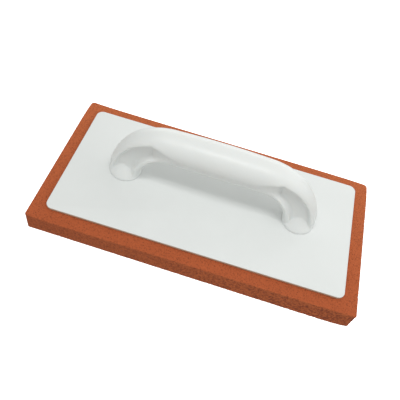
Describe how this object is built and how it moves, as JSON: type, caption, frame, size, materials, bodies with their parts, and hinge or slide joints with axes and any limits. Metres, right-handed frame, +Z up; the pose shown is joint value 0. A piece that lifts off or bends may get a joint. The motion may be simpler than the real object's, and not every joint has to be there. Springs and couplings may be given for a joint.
{
  "type": "grout float",
  "caption": "Hand float for spreading and washing off grout, with a cellular rubber pad glued under a rigid plate and an arched handle screwed on top.",
  "frame": {"origin": "middle of the pad's working face, on the surface the float rests on", "axes": "+X along the float, from the left foot of the handle to the right foot; +Y towards the far long side; +Z up, away from the working face"},
  "size_m": [0.28, 0.14, 0.0843],
  "materials": {
    "cellular_rubber": "orange-red cellular rubber, fine open pores",
    "contact_adhesive": "thin cured contact adhesive",
    "plate_plastic": "white moulded sheet, fine satin grain",
    "handle_plastic": "white moulding, soft satin",
    "screw_steel": "zinc-plated steel"
  },
  "bodies": {
    "root": {"rubber_pad": "cellular_rubber", "adhesive_layer": "contact_adhesive", "backing_plate": "plate_plastic", "handle": "handle_plastic", "screw_left_front": "screw_steel", "screw_left_rear": "screw_steel", "screw_right_front": "screw_steel", "screw_right_rear": "screw_steel"}
  },
  "joints": []
}
